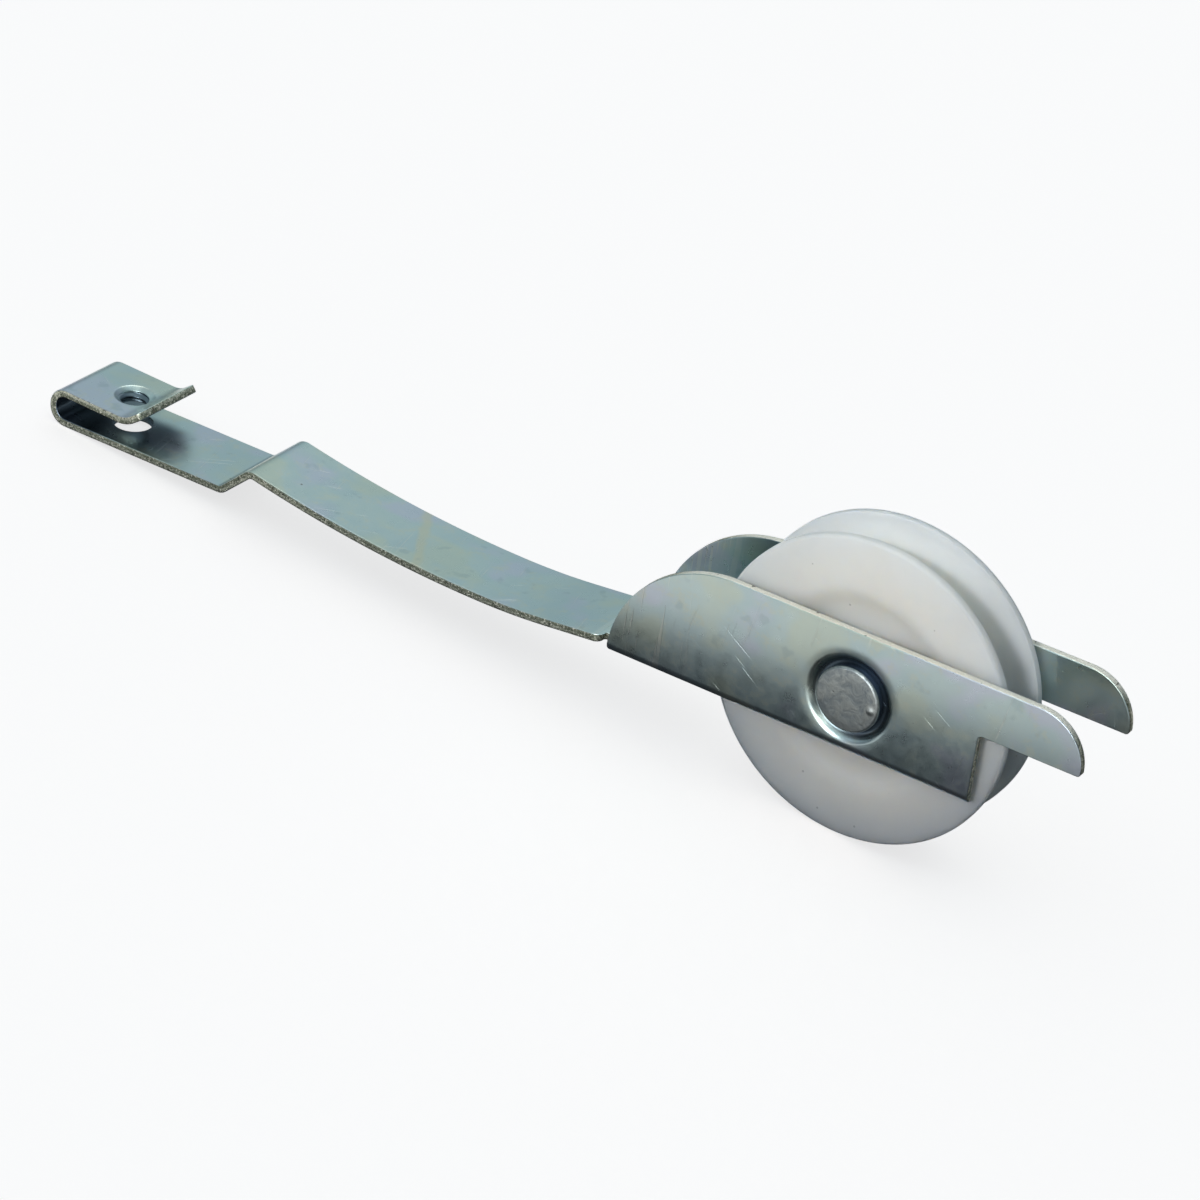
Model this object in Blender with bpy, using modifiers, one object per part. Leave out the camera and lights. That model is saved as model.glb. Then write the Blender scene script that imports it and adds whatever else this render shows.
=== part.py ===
"""Sliding door roller: a sprung steel stamping that clips onto a door rail and carries a grooved nylon wheel.

The pieces are drawn in the stamping's own frame. Its origin is the middle of the wheel's axle, +X runs from
the clip to the yoke's nose, +Y runs along the axle and +Z points up out of the yoke's channel. The empty
called stance then tips and lifts the whole roller, so that it stands on the wheel and on the clip's bend,
with the world's origin under the middle of its box.

The stamping is one piece of sheet. It is cut here across the arm, at the point that the end of a bending
leaf turns about, so that the outer half can turn on a sprung hinge there.
"""

import math

import bmesh
import bpy
from mathutils import Vector

MM = 0.001

# The sheet
SHEET = 0.85 * MM
STRIP_WIDTH = 9.4 * MM
ARC_STEP = math.radians(15)
SEAT_GAP = 0.3 * MM

# How far a cutter reaches through the sheet, and how far a rough shape runs past the outline that trims it
CUT_THROUGH = 3.0 * MM
MARGIN = 1.0 * MM
WELD = 0.01 * MM
HOLE_SIDES = 32

# The clip: an upper leaf with a tapped hole, folded back over a base leaf with a clearance hole
CLIP_END_X = -97.5 * MM
CLIP_BEND_RADIUS = 1.6 * MM
BASE_LEAF_Z = -6.69 * MM
UPPER_LEAF_Z = -3.24 * MM
LIP_BEND_X = -87.5 * MM
LIP_BEND_Z = -3.61 * MM
LIP_END_X = -85.6 * MM
LIP_END_Z = -2.25 * MM
LIP_BEND_RADIUS = 3.0 * MM
SMALL_BEND_RADIUS = 1.2 * MM
SCREW_X = -90.0 * MM
CLEARANCE_HOLE_RADIUS = 2.05 * MM
TAPPED_HOLE_RADIUS = 1.35 * MM
TAPPED_MOUTH_RADIUS = 2.1 * MM
TAPPED_MOUTH_DEPTH = 0.6 * MM
COLLAR_RADIUS = 1.95 * MM
COLLAR_DROP = 0.8 * MM

# The arm: a step up from the base leaf, then two long arcs that meet at its lowest point
VALLEY_X = -74.7 * MM
CREST_X = -71.2 * MM
ARM_LOW_X = -42.3 * MM
ARM_LOW_Z = -6.405 * MM
ROOT_ARC_RADIUS = 145.0 * MM
OUTER_ARC_RADIUS = 75.0 * MM
STRAIGHT_START_X = -34.5 * MM
SHOULDER_X = -27.9 * MM
SHOULDER_CORNER_RADIUS = 0.8 * MM
FLEX_X = -52.3 * MM
ARM_POINT_SPACING = 3.0 * MM

# The yoke: a channel with an ear on each side of the wheel
EAR_OUTER_Y = 5.44 * MM
EAR_TOP_Z = 7.2 * MM
CHANNEL_BOTTOM_Z = -5.95 * MM
CHANNEL_BEND_RADIUS = 1.2 * MM
EAR_REAR_X = -26.7 * MM
EAR_REAR_RADIUS = 13.0 * MM
EAR_REAR_STEPS = 12
NOSE_TIP_X = 24.35 * MM
NOSE_RADIUS = 5.0 * MM
NOSE_STEPS = 8
NOSE_BOTTOM_Z = 1.84 * MM
NOTCH_X = 13.7 * MM
NOTCH_CORNER_RADIUS = 0.5 * MM
NECK_HALF_WIDTH = 3.4 * MM
NECK_END_X = -24.0 * MM
WINDOW_REAR_X = -17.2 * MM
WINDOW_HALF_WIDTH = 4.25 * MM
WINDOW_CORNER_RADIUS = 1.5 * MM

# The dimple pressed into each ear round the axle
DIMPLE_RIM_RADIUS = 4.48 * MM
DIMPLE_FLOOR_RADIUS = 3.75 * MM
DIMPLE_DEPTH = 0.75 * MM
DIMPLE_WALL = 0.42 * MM

# The axle rivet
SHANK_RADIUS = 2.35 * MM
RIVET_HEAD_RADIUS = 3.42 * MM
RIVET_TAIL_RADIUS = 3.3 * MM
RIVET_END_Y = 5.83 * MM
HEAD_EDGE = 0.15 * MM
TAIL_DOME = 0.45 * MM

# The wheel
WHEEL_RADIUS = 15.875 * MM
WHEEL_HALF_WIDTH = 3.7 * MM
BORE_CLEARANCE = 0.08 * MM
BORE_CHAMFER = 0.25 * MM
HUB_RADIUS = 5.4 * MM
RECESS_INNER_RADIUS = 6.4 * MM
RECESS_OUTER_RADIUS = 8.7 * MM
FACE_INNER_RADIUS = 10.3 * MM
RECESS_DEPTH = 0.8 * MM
RIM_BEVEL = 0.3 * MM
CREST_WIDTH = 0.7 * MM
GROOVE_DEPTH = 2.6 * MM
GROOVE_STEPS = 12
TURNED_STEPS = 64

ZINC = (0.55, 0.60, 0.60, 1.0)
RIVET_GREY = (0.42, 0.43, 0.42, 1.0)
NYLON = (0.86, 0.86, 0.83, 1.0)


def clear_scene():
    for obj in list(bpy.data.objects):
        bpy.data.objects.remove(obj, do_unlink=True)


def new_collection(name, hidden):
    collection = bpy.data.collections.new(name)
    collection.hide_render = hidden
    bpy.context.scene.collection.children.link(collection)
    return collection


def new_material(name, color, roughness, metallic):
    material = bpy.data.materials.new(name)
    material.use_nodes = True
    shader = material.node_tree.nodes["Principled BSDF"]
    shader.inputs["Base Color"].default_value = color
    shader.inputs["Roughness"].default_value = roughness
    shader.inputs["Metallic"].default_value = metallic
    material.diffuse_color = color
    return material


def new_object(name, mesh, parent, origin):
    """An object whose mesh is in the stamping's frame, under a parent empty that stands at origin."""
    obj = bpy.data.objects.new(name, mesh)
    obj.parent = parent
    obj.location = -origin
    return obj


def as_cutter(obj, cutters):
    obj.hide_render = True
    obj.display_type = "WIRE"
    cutters.objects.link(obj)
    return obj


def fillet(before, corner, after, radius):
    """Points of the arc that rounds one corner of a path, or the corner itself where the radius is 0."""
    if radius == 0:
        return [corner]
    back = (before - corner).normalized()
    ahead = (after - corner).normalized()
    turn = math.pi - back.angle(ahead)
    reach = radius * math.tan(turn / 2)
    centre = corner + (back + ahead).normalized() * radius / math.cos(turn / 2)
    start = corner + back * reach - centre
    end = corner + ahead * reach - centre
    first = math.atan2(start.y, start.x)
    sweep = math.remainder(math.atan2(end.y, end.x) - first, math.tau)
    steps = max(2, math.ceil(turn / ARC_STEP))
    angles = [first + sweep * step / steps for step in range(steps + 1)]
    return [centre + radius * Vector((math.cos(angle), math.sin(angle))) for angle in angles]


def rounded_path(corners):
    """An open path through corners given as (u, v, radius)."""
    points = [Vector(corner[:2]) for corner in corners]
    path = [points[0]]
    for index in range(1, len(corners) - 1):
        path += fillet(points[index - 1], points[index], points[index + 1], corners[index][2])
    return path + [points[-1]]


def rounded_outline(corners):
    """A closed outline through corners given as (u, v, radius)."""
    points = [Vector(corner[:2]) for corner in corners]
    outline = []
    for index, corner in enumerate(corners):
        after = points[(index + 1) % len(points)]
        outline += fillet(points[index - 1], points[index], after, corner[2])
    return outline


def bent_sheet(name, edge_points, sweep):
    """A mesh sheet made by sweeping a bent edge straight along one direction."""
    build = bmesh.new()
    verts = [build.verts.new(point) for point in edge_points]
    edges = [build.edges.new(pair) for pair in zip(verts, verts[1:])]
    swept = bmesh.ops.extrude_edge_only(build, edges=edges)["geom"]
    moved = [item for item in swept if isinstance(item, bmesh.types.BMVert)]
    bmesh.ops.translate(build, verts=moved, vec=sweep)
    bmesh.ops.recalc_face_normals(build, faces=build.faces)
    mesh = bpy.data.meshes.new(name)
    build.to_mesh(mesh)
    build.free()
    return mesh


def strip_sheet(name, path):
    """The strip along a path in the XZ plane."""
    edge = [(point.x, -STRIP_WIDTH / 2, point.y) for point in path]
    return bent_sheet(name, edge, (0, STRIP_WIDTH, 0))


def thicken(obj):
    solid = obj.modifiers.new("Sheet", "SOLIDIFY")
    solid.thickness = SHEET
    solid.offset = 0
    solid.use_even_offset = True


def combine(obj, other, operation):
    boolean = obj.modifiers.new(other.name, "BOOLEAN")
    boolean.operation = operation
    boolean.object = other
    boolean.solver = "EXACT"


def prism(name, outline, depth):
    """A mesh prism on an outline in its own XY plane, depth thick and centred on that plane."""
    curve = bpy.data.curves.new(name, "CURVE")
    curve.dimensions = "2D"
    curve.fill_mode = "BOTH"
    curve.extrude = depth / 2
    spline = curve.splines.new("POLY")
    spline.points.add(len(outline) - 1)
    for point, place in zip(spline.points, outline):
        point.co = (place.x, place.y, 0, 1)
    spline.use_cyclic_u = True
    guide = bpy.data.objects.new(name, curve)
    bpy.context.scene.collection.objects.link(guide)
    graph = bpy.context.evaluated_depsgraph_get()
    mesh = bpy.data.meshes.new_from_object(guide.evaluated_get(graph))
    bpy.data.objects.remove(guide, do_unlink=True)
    build = bmesh.new()
    build.from_mesh(mesh)
    bmesh.ops.remove_doubles(build, verts=build.verts, dist=WELD)
    bmesh.ops.recalc_face_normals(build, faces=build.faces)
    build.to_mesh(mesh)
    build.free()
    return mesh


def frustum(name, radius_low, radius_high, length):
    """A cone or cylinder along its own Z, centred on its origin."""
    build = bmesh.new()
    bmesh.ops.create_cone(
        build, cap_ends=True, segments=HOLE_SIDES, radius1=radius_low, radius2=radius_high, depth=length
    )
    mesh = bpy.data.meshes.new(name)
    build.to_mesh(mesh)
    build.free()
    return mesh


def turned(name, profile, closed, parent):
    """A turned piece on the axle: profile points are (radius, y), run from +Y to -Y down the outer side."""
    mesh = bpy.data.meshes.new(name)
    links = [(index, index + 1) for index in range(len(profile) - 1)]
    if closed:
        links.append((len(profile) - 1, 0))
    mesh.from_pydata([(radius, 0, y) for radius, y in profile], links, [])
    obj = bpy.data.objects.new(name, mesh)
    obj.parent = parent
    obj.rotation_euler = (-math.pi / 2, 0, 0)
    screw = obj.modifiers.new("Turn", "SCREW")
    screw.steps = TURNED_STEPS
    screw.render_steps = TURNED_STEPS
    screw.use_merge_vertices = True
    screw.merge_threshold = WELD
    screw.use_smooth_shade = True
    return obj


def arm_height(x):
    """Height of the middle of the sheet along the arm."""
    if x < ARM_LOW_X:
        radius, run = ROOT_ARC_RADIUS, ARM_LOW_X - x
    else:
        radius, run = OUTER_ARC_RADIUS, min(x, STRAIGHT_START_X) - ARM_LOW_X
    rise = radius - math.sqrt(radius**2 - run**2)
    slope = run / math.sqrt(radius**2 - run**2)
    return ARM_LOW_Z + rise + slope * max(0, x - STRAIGHT_START_X)


def arm_run(start_x, end_x):
    """Corners along the arm between two places, with no rounding of their own."""
    steps = math.ceil((end_x - start_x) / ARM_POINT_SPACING)
    places = [start_x + (end_x - start_x) * step / steps for step in range(steps + 1)]
    return [(x, arm_height(x), 0) for x in places]


def clip_corners():
    end_x = CLIP_END_X + SHEET / 2
    return [
        (LIP_END_X, LIP_END_Z, 0),
        (LIP_BEND_X, LIP_BEND_Z, LIP_BEND_RADIUS),
        (end_x, UPPER_LEAF_Z, CLIP_BEND_RADIUS),
        (end_x, BASE_LEAF_Z, CLIP_BEND_RADIUS),
        (VALLEY_X, BASE_LEAF_Z, SMALL_BEND_RADIUS),
        (CREST_X, arm_height(CREST_X), SMALL_BEND_RADIUS),
    ]


def upper_leaf_height(x):
    """Height of the middle of the sheet along the clip's upper leaf."""
    share = (LIP_BEND_X - x) / (LIP_BEND_X - CLIP_END_X - SHEET / 2)
    return LIP_BEND_Z + share * (UPPER_LEAF_Z - LIP_BEND_Z)


def make_clip(stance, cutters):
    """The clip, the step and the root half of the arm."""
    arm = arm_run(CREST_X, FLEX_X - SEAT_GAP / 2)[1:]
    path = rounded_path(clip_corners() + arm)
    clip = new_object("mounting_clip", strip_sheet("mounting_clip", path), stance, Vector())
    thicken(clip)

    leaf_z = upper_leaf_height(SCREW_X)
    leaf_top = leaf_z + SHEET / 2
    collar_length = SHEET / 2 + COLLAR_DROP
    collar = frustum("tapped_collar", COLLAR_RADIUS, COLLAR_RADIUS, collar_length)
    thread = frustum("tapped_hole", TAPPED_HOLE_RADIUS, TAPPED_HOLE_RADIUS, CUT_THROUGH)
    # The mouth's cone runs on above the leaf as far as it goes down into it
    mouth_high = 2 * TAPPED_MOUTH_RADIUS - TAPPED_HOLE_RADIUS
    mouth = frustum("tapped_mouth", TAPPED_HOLE_RADIUS, mouth_high, 2 * TAPPED_MOUTH_DEPTH)
    clearance = frustum("clearance_hole", CLEARANCE_HOLE_RADIUS, CLEARANCE_HOLE_RADIUS, CUT_THROUGH)
    steps = (
        (collar, leaf_z - collar_length / 2, "UNION"),
        (thread, leaf_z - COLLAR_DROP / 2, "DIFFERENCE"),
        (mouth, leaf_top, "DIFFERENCE"),
        (clearance, BASE_LEAF_Z, "DIFFERENCE"),
    )
    for mesh, z, operation in steps:
        cutter = as_cutter(new_object(mesh.name, mesh, stance, Vector()), cutters)
        cutter.location = (SCREW_X, 0, z)
        combine(clip, cutter, operation)
    return clip


def quarter_arc(centre_x, centre_z, radius, start_angle, steps):
    """Points of a quarter circle, clockwise from its start angle."""
    angles = [start_angle - math.pi / 2 * step / steps for step in range(steps + 1)]
    centre = Vector((centre_x, centre_z))
    return [centre + radius * Vector((math.cos(angle), math.sin(angle))) for angle in angles]


def ear_outline():
    """Side outline of the yoke, from the bottom of the rear edge over the top and round the nose."""
    rear_centre_x = EAR_REAR_X + EAR_REAR_RADIUS
    rear_centre_z = EAR_TOP_Z - EAR_REAR_RADIUS
    nose_centre_x = NOSE_TIP_X - NOSE_RADIUS
    nose_centre_z = EAR_TOP_Z - NOSE_RADIUS
    outline = [Vector((EAR_REAR_X, CHANNEL_BOTTOM_Z - MARGIN))]
    outline += quarter_arc(rear_centre_x, rear_centre_z, EAR_REAR_RADIUS, math.pi, EAR_REAR_STEPS)
    outline += quarter_arc(nose_centre_x, nose_centre_z, NOSE_RADIUS, math.pi / 2, NOSE_STEPS)
    nose_tip = Vector((NOSE_TIP_X, NOSE_BOTTOM_Z))
    notch = Vector((NOTCH_X, NOSE_BOTTOM_Z))
    notch_bottom = Vector((NOTCH_X, CHANNEL_BOTTOM_Z - MARGIN))
    notch_corner = fillet(nose_tip, notch, notch_bottom, NOTCH_CORNER_RADIUS)
    return [*outline, nose_tip, *notch_corner, notch_bottom]


def channel_sheet():
    """The yoke's channel section, longer and taller than the ears that are cut from it."""
    middle_y = EAR_OUTER_Y - SHEET / 2
    middle_z = CHANNEL_BOTTOM_Z + SHEET / 2
    radius = CHANNEL_BEND_RADIUS - SHEET / 2
    section = rounded_path(
        [
            (-middle_y, EAR_TOP_Z + MARGIN, 0),
            (-middle_y, middle_z, radius),
            (middle_y, middle_z, radius),
            (middle_y, EAR_TOP_Z + MARGIN, 0),
        ]
    )
    start_x = EAR_REAR_X - MARGIN
    edge = [(start_x, point.x, point.y) for point in section]
    return bent_sheet("wheel_yoke", edge, (NOSE_TIP_X + MARGIN - start_x, 0, 0))


def outer_arm(pivot_empty, pivot, cutters):
    """The outer half of the arm, down to the narrow neck that joins it to the channel."""
    web_z = CHANNEL_BOTTOM_Z + SHEET / 2
    corners = arm_run(FLEX_X + SEAT_GAP / 2, SHOULDER_X)
    corners += [(EAR_REAR_X, web_z, SMALL_BEND_RADIUS), (NECK_END_X, web_z, 0)]
    mesh = strip_sheet("outer_arm", rounded_path(corners))
    arm = as_cutter(new_object("outer_arm", mesh, pivot_empty, pivot), cutters)
    thicken(arm)
    for side in (-1, 1):
        outer = side * STRIP_WIDTH
        outline = rounded_outline(
            [
                (SHOULDER_X, side * NECK_HALF_WIDTH, SHOULDER_CORNER_RADIUS / 2),
                (SHOULDER_X, side * STRIP_WIDTH / 2 - side * SHOULDER_CORNER_RADIUS, 0),
                (SHOULDER_X - SHOULDER_CORNER_RADIUS, side * STRIP_WIDTH / 2, 0),
                (SHOULDER_X - SHOULDER_CORNER_RADIUS, outer, 0),
                (NECK_END_X + MARGIN, outer, 0),
                (NECK_END_X + MARGIN, side * NECK_HALF_WIDTH, 0),
            ]
        )
        name = "relief_notch_near" if side < 0 else "relief_notch_far"
        notch = as_cutter(new_object(name, prism(name, outline, CUT_THROUGH), pivot_empty, pivot), cutters)
        notch.location.z += web_z
        combine(arm, notch, "DIFFERENCE")
    return arm


def across_the_yoke(name, mesh, y, pivot_empty, pivot, cutters):
    """A frustum laid along the axle with its middle at y, its own +Z end towards +Y."""
    obj = as_cutter(new_object(name, mesh, pivot_empty, pivot), cutters)
    obj.rotation_euler = (-math.pi / 2, 0, 0)
    obj.location.y += y
    return obj


def press_dimples(yoke, pivot_empty, pivot, cutters):
    """Each ear is pressed inwards round the axle, so that the rivet's ends sit in a dish."""
    ear_inner_y = EAR_OUTER_Y - SHEET
    slope = (DIMPLE_RIM_RADIUS - DIMPLE_FLOOR_RADIUS) / DIMPLE_DEPTH
    boss_floor = DIMPLE_FLOOR_RADIUS + DIMPLE_WALL
    boss_root = boss_floor + slope * (DIMPLE_DEPTH + SHEET / 2)
    dish_mouth = DIMPLE_RIM_RADIUS + slope * DIMPLE_DEPTH
    for side, name in ((-1, "near"), (1, "far")):
        boss_length = DIMPLE_DEPTH + SHEET / 2
        boss_y = side * (ear_inner_y + SHEET / 2 - boss_length / 2)
        ends = (boss_floor, boss_root) if side > 0 else (boss_root, boss_floor)
        boss_mesh = frustum("boss_" + name, *ends, boss_length)
        boss = across_the_yoke("boss_" + name, boss_mesh, boss_y, pivot_empty, pivot, cutters)
        combine(yoke, boss, "UNION")
        ends = (DIMPLE_FLOOR_RADIUS, dish_mouth) if side > 0 else (dish_mouth, DIMPLE_FLOOR_RADIUS)
        dish_mesh = frustum("dish_" + name, *ends, 2 * DIMPLE_DEPTH)
        dish = across_the_yoke("dish_" + name, dish_mesh, side * EAR_OUTER_Y, pivot_empty, pivot, cutters)
        combine(yoke, dish, "DIFFERENCE")
    hole_radius = SHANK_RADIUS + SEAT_GAP
    hole_mesh = frustum("axle_holes", hole_radius, hole_radius, 4 * EAR_OUTER_Y)
    combine(yoke, across_the_yoke("axle_holes", hole_mesh, 0, pivot_empty, pivot, cutters), "DIFFERENCE")


def make_yoke(pivot_empty, pivot, cutters):
    """The outer half of the arm and the channel whose ears hold the wheel."""
    yoke = new_object("wheel_yoke", channel_sheet(), pivot_empty, pivot)
    thicken(yoke)

    ears_mesh = prism("ear_outline", ear_outline(), 4 * EAR_OUTER_Y)
    ears = new_object("ear_outline", ears_mesh, pivot_empty, pivot)
    ears.rotation_euler = (math.pi / 2, 0, 0)
    combine(yoke, as_cutter(ears, cutters), "INTERSECT")

    front_x = NOSE_TIP_X + 2 * MARGIN
    window_outline = rounded_outline(
        [
            (WINDOW_REAR_X, -WINDOW_HALF_WIDTH, WINDOW_CORNER_RADIUS),
            (front_x, -WINDOW_HALF_WIDTH, 0),
            (front_x, WINDOW_HALF_WIDTH, 0),
            (WINDOW_REAR_X, WINDOW_HALF_WIDTH, WINDOW_CORNER_RADIUS),
        ]
    )
    window_mesh = prism("wheel_window", window_outline, CUT_THROUGH)
    window = new_object("wheel_window", window_mesh, pivot_empty, pivot)
    window.location.z += CHANNEL_BOTTOM_Z
    combine(yoke, as_cutter(window, cutters), "DIFFERENCE")

    combine(yoke, outer_arm(pivot_empty, pivot, cutters), "UNION")
    press_dimples(yoke, pivot_empty, pivot, cutters)
    return yoke


def make_rivet(axle):
    """The axle: a flat head in the near dish, a shank, and a domed tail in the far dish."""
    floor_y = EAR_OUTER_Y - DIMPLE_DEPTH + SEAT_GAP
    profile = [
        (0, RIVET_END_Y),
        (RIVET_TAIL_RADIUS - TAIL_DOME, RIVET_END_Y),
        (RIVET_TAIL_RADIUS, RIVET_END_Y - TAIL_DOME),
        (RIVET_TAIL_RADIUS, floor_y),
        (SHANK_RADIUS, floor_y),
        (SHANK_RADIUS, -floor_y),
        (RIVET_HEAD_RADIUS, -floor_y),
        (RIVET_HEAD_RADIUS, -RIVET_END_Y + HEAD_EDGE),
        (RIVET_HEAD_RADIUS - HEAD_EDGE, -RIVET_END_Y),
        (0, -RIVET_END_Y),
    ]
    return turned("axle_rivet", profile, False, axle)


def wheel_side(side):
    """Profile points of one face of the wheel, from its bore out to its rim."""
    bore = SHANK_RADIUS + BORE_CLEARANCE
    face = WHEEL_HALF_WIDTH
    floor = face - RECESS_DEPTH
    points = [
        (bore, face - BORE_CHAMFER),
        (bore + BORE_CHAMFER, face),
        (HUB_RADIUS, face),
        (RECESS_INNER_RADIUS, floor),
        (RECESS_OUTER_RADIUS, floor),
        (FACE_INNER_RADIUS, face),
        (WHEEL_RADIUS - RIM_BEVEL, face),
        (WHEEL_RADIUS, face - RIM_BEVEL),
    ]
    return [(radius, side * y) for radius, y in points]


def groove_points():
    """The rounded groove between the two flanges, from +Y to -Y."""
    half_width = WHEEL_HALF_WIDTH - RIM_BEVEL - CREST_WIDTH
    angles = [math.pi * step / GROOVE_STEPS for step in range(GROOVE_STEPS + 1)]
    return [
        (WHEEL_RADIUS - GROOVE_DEPTH * math.sin(angle), half_width * math.cos(angle)) for angle in angles
    ]


def make_wheel(axle):
    profile = wheel_side(1) + groove_points() + wheel_side(-1)[::-1]
    return turned("grooved_wheel", profile, True, axle)


def new_empty(name, parent, place):
    empty = bpy.data.objects.new(name, None)
    empty.parent = parent
    empty.location = place
    return empty


def set_down(stance):
    """Tips the roller nose up until the wheel and the clip's bend stand on one level, and centres its box."""
    bend_outer = CLIP_BEND_RADIUS + SHEET / 2
    bend_x = CLIP_END_X + bend_outer
    bend_z = BASE_LEAF_Z + CLIP_BEND_RADIUS
    reach = math.hypot(bend_x, bend_z)
    tilt = math.asin((WHEEL_RADIUS - bend_outer) / reach) - math.atan2(-bend_z, -bend_x)
    rear = bend_x * math.cos(tilt) - bend_z * math.sin(tilt) - bend_outer
    front = NOSE_TIP_X * math.cos(tilt) - NOSE_BOTTOM_Z * math.sin(tilt)
    stance.rotation_euler = (0, -tilt, 0)
    stance.location = (-(rear + front) / 2, 0, WHEEL_RADIUS)


def main():
    clear_scene()
    parts = new_collection("sliding_door_roller", hidden=False)
    cutters = new_collection("cutters", hidden=True)

    pivot = Vector((FLEX_X, 0, arm_height(FLEX_X)))
    stance = new_empty("stance", None, (0, 0, 0))
    flex_pivot = new_empty("flex_pivot", stance, pivot)
    axle = new_empty("wheel_axle", flex_pivot, -pivot)
    set_down(stance)

    pieces = (
        (make_clip(stance, cutters), new_material("zinc_plate_clip", ZINC, 0.42, 1.0)),
        (make_yoke(flex_pivot, pivot, cutters), new_material("zinc_plate_yoke", ZINC, 0.42, 1.0)),
        (make_rivet(axle), new_material("rivet_steel", RIVET_GREY, 0.55, 1.0)),
        (make_wheel(axle), new_material("white_nylon", NYLON, 0.45, 0.0)),
    )
    for empty in (stance, flex_pivot, axle):
        parts.objects.link(empty)
    for piece, material in pieces:
        piece.data.materials.append(material)
        parts.objects.link(piece)


main()
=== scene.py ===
"""Looks of a sliding door roller: one bent and pressed steel stamping, a grooved nylon wheel and its rivet.

The stamping is drawn as its flat blank, in u along the strip, t across it and w through the sheet (+w is
the side that faces the wheel and the clip's slot). Dishes and the tapped collar are pressed in the flat,
and then the blank is folded up. The roller's own frame is the CAD source's: its origin is the middle of
the axle, +X runs to the yoke's nose, +Y along the axle and +Z up out of the yoke's channel.
"""

import math

import bmesh
import bpy
import numpy as np
from mathutils import Matrix, Vector


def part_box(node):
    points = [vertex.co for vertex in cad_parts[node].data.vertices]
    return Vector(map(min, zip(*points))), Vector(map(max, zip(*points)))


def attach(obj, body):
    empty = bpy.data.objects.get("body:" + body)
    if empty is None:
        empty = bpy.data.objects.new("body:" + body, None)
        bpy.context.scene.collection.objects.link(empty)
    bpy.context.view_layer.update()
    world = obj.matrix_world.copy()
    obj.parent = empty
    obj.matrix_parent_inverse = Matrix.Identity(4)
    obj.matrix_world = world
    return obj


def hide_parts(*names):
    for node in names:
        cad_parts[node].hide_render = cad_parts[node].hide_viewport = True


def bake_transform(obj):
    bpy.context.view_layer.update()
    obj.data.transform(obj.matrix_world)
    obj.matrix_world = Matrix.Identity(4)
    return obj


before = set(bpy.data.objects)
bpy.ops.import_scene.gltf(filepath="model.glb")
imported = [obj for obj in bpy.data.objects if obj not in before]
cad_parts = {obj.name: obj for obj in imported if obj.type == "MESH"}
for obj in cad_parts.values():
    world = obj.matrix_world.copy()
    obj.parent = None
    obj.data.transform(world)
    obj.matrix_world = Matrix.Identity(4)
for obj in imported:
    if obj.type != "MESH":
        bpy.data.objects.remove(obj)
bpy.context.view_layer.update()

MM = 0.001

# The sheet
SHEET = 0.85 * MM
HALF_SHEET = SHEET / 2
STRIP_WIDTH = 9.4 * MM
EDGE_ROUNDING = 0.08 * MM
RING_SHARE = 0.3

# The clip
CLIP_END_X = -97.5 * MM
CLIP_BEND_RADIUS = 1.6 * MM
BASE_LEAF_Z = -6.69 * MM
UPPER_LEAF_Z = -3.24 * MM
LIP_BEND_X = -87.5 * MM
LIP_BEND_Z = -3.61 * MM
LIP_END_X = -85.6 * MM
LIP_END_Z = -2.25 * MM
LIP_BEND_RADIUS = 3.0 * MM
SMALL_BEND_RADIUS = 1.2 * MM
SCREW_X = -90.0 * MM
CLEARANCE_HOLE_RADIUS = 2.05 * MM
THREAD_MINOR_RADIUS = 1.35 * MM
THREAD_MAJOR_RADIUS = 1.72 * MM
THREAD_PITCH = 0.794 * MM
TAPPED_MOUTH_RADIUS = 2.1 * MM
COLLAR_RADIUS = 1.95 * MM
COLLAR_DROP = 0.8 * MM

# The arm
VALLEY_X = -74.7 * MM
CREST_X = -71.2 * MM
ARM_LOW_X = -42.3 * MM
ARM_LOW_Z = -6.405 * MM
ROOT_ARC_RADIUS = 145.0 * MM
OUTER_ARC_RADIUS = 75.0 * MM
STRAIGHT_START_X = -34.5 * MM
SHOULDER_X = -27.9 * MM

# The yoke
EAR_OUTER_Y = 5.44 * MM
EAR_TOP_Z = 7.2 * MM
CHANNEL_BOTTOM_Z = -5.95 * MM
CHANNEL_BEND_RADIUS = 1.2 * MM
EAR_REAR_X = -26.7 * MM
EAR_REAR_RADIUS = 13.0 * MM
NOSE_TIP_X = 24.35 * MM
NOSE_RADIUS = 5.0 * MM
NOSE_BOTTOM_Z = 1.84 * MM
NOTCH_X = 13.7 * MM
NECK_HALF_WIDTH = 3.4 * MM
WINDOW_REAR_X = -17.2 * MM

# The dish pressed into each ear
DISH_RIM_RADIUS = 4.75 * MM
DISH_FLOOR_RADIUS = 3.68 * MM
DISH_DEPTH = 0.75 * MM
DISH_DRAW = 0.14 * MM
DISH_ROUNDING = 0.4
DISH_WALL = 0.3 * MM
DISH_FIELD_RADIUS = 5.75 * MM
AXLE_HOLE_RADIUS = 2.4 * MM

# The rivet
SHANK_RADIUS = 2.35 * MM
RIVET_HEAD_RADIUS = 3.42 * MM
RIVET_TAIL_RADIUS = 3.3 * MM
RIVET_END_Y = 5.83 * MM
BLISTER_X = 2.62 * MM
BLISTER_Z = -0.14 * MM
BLISTER_RADIUS = 0.55 * MM
BLISTER_HEIGHT = 0.1 * MM
CLOSE_ROWS_RADIUS = 1.9 * MM
PAINTED_SHADE_FLANK_Y = 5.6 * MM

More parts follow.
